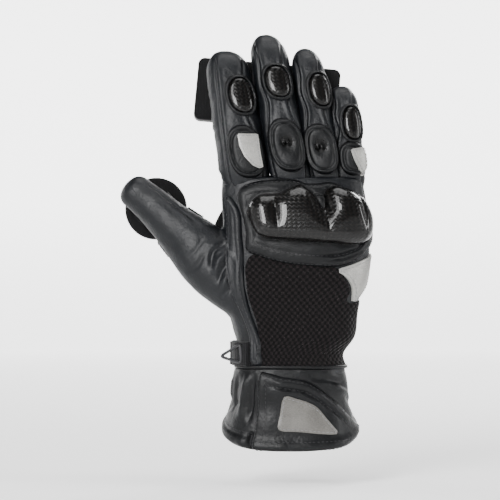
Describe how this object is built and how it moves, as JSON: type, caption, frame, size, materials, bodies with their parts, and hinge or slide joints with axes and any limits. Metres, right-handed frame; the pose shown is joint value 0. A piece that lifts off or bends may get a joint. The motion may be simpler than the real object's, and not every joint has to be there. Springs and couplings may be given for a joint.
{
  "type": "longboard slide glove",
  "caption": "Right-hand leather slide glove with gauntlet cuff, hard knuckle guard, finger armour and slide pucks on palm, thumb and fingertips.",
  "frame": {"origin": "centre of the hand opening at the cuff's mouth, where the wrist goes in", "axes": "+Z from the cuff towards the fingertips, -Y is the back of the hand and +Y the palm, -X towards the thumb"},
  "size_m": [0.1719, 0.0773, 0.2781],
  "materials": {
    "glove_leather": "black grained leather, softly shining",
    "pad_leather": "black leather over foam",
    "knit_mesh": "black knitted mesh",
    "carbon_gloss": "carbon weave under clear lacquer",
    "gloss_insert": "gloss black moulded insert",
    "reflective_cloth": "silver grey reflective cloth",
    "cuff_reflective": "darker grey reflective cloth",
    "webbing": "black webbing and hook pad",
    "elastic": "gathered black elastic",
    "puck_plastic": "dark grey slide plastic, turned",
    "bar_plastic": "near black slide plastic",
    "loop_cord": "black coated loop"
  },
  "bodies": {
    "root": {"back_shell": "glove_leather", "palm_shell": "glove_leather", "back_mesh_panel": "knit_mesh", "index_finger": "glove_leather", "middle_finger": "glove_leather", "ring_finger": "glove_leather", "little_finger": "glove_leather", "index_upper_pad": "pad_leather", "index_upper_shell": "gloss_insert", "index_lower_pad": "pad_leather", "middle_upper_pad": "pad_leather", "middle_upper_shell": "gloss_insert", "middle_lower_pad": "pad_leather", "ring_upper_pad": "pad_leather", "ring_upper_shell": "gloss_insert", "ring_lower_pad": "pad_leather", "little_upper_pad": "pad_leather", "little_upper_shell": "gloss_insert", "little_lower_pad": "pad_leather", "index_reflector": "reflective_cloth", "little_reflector": "reflective_cloth", "knuckle_guard": "carbon_gloss", "knuckle_surround": "pad_leather", "index_side_strip": "glove_leather", "side_reflector": "reflective_cloth", "cuff_gauntlet": "glove_leather", "cuff_flap": "pad_leather", "flap_reflector": "cuff_reflective", "palm_wrist_strap": "webbing", "wrist_elastic": "elastic", "palm_hook_pad": "webbing", "palm_puck": "puck_plastic", "thumb_shell": "glove_leather", "thumb_strap": "webbing", "thumb_puck": "puck_plastic", "thumb_hook_pad": "webbing", "finger_bar": "bar_plastic", "index_bar_pad": "webbing", "middle_bar_pad": "webbing", "little_bar_pad": "webbing", "wrist_loop_tab": "webbing", "wrist_pull_loop": "loop_cord"}
  },
  "joints": []
}
